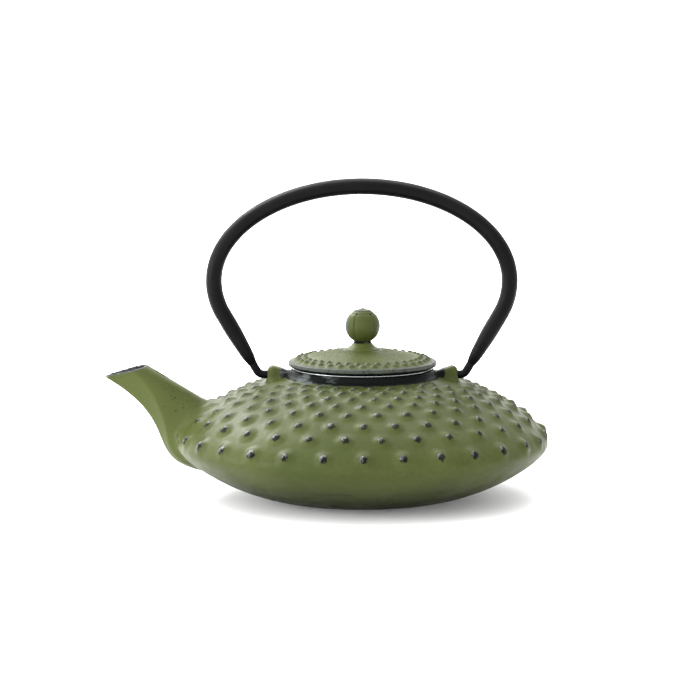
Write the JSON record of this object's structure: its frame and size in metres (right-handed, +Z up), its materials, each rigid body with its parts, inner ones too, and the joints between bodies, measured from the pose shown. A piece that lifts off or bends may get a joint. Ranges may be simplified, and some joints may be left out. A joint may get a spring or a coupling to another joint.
{
  "type": "cast iron teapot",
  "caption": "Low, wide cast iron teapot with a studded shoulder, short spout, swinging hoop handle, lift-off lid with ball knob and a lift-out tea infuser.",
  "frame": {"origin": "middle of the flat base, on the body's axis", "axes": "+Z up, -X towards the spout, so the handle's pivots lie along X; the handle stands upright at rest"},
  "size_m": [0.2277, 0.19, 0.1639],
  "materials": {
    "lacquered_iron": "green lacquer, semi-gloss, worn dark on the high points",
    "black_steel": "satin black",
    "stainless": "satin"
  },
  "bodies": {
    "pot": {"pot_body": "lacquered_iron"},
    "infuser": {"infuser_rim": "stainless", "infuser_wall": "stainless", "infuser_hoop": "stainless", "infuser_floor": "stainless"},
    "lid": {"lid_plate": "lacquered_iron", "lid_knob": "lacquered_iron", "knob_screw": "stainless", "knob_washer": "stainless"},
    "bail": {"bail_tube": "black_steel", "bail_hook_spout_side": "black_steel", "bail_hook_rear": "black_steel"}
  },
  "joints": [
    {"name": "infuser_lift", "type": "slide", "parent": "pot", "child": "infuser", "axis": [0, 0, 1], "range_m": [0, 0.05]},
    {"name": "lid_lift", "type": "slide", "parent": "infuser", "child": "lid", "axis": [0, 0, 1], "range_m": [0, 0.05]},
    {"name": "handle_swing", "type": "hinge", "parent": "pot", "child": "bail", "pos_m": [0, 0, 0.0634], "axis": [1, 0, 0], "range_deg": [-100, 100]}
  ]
}
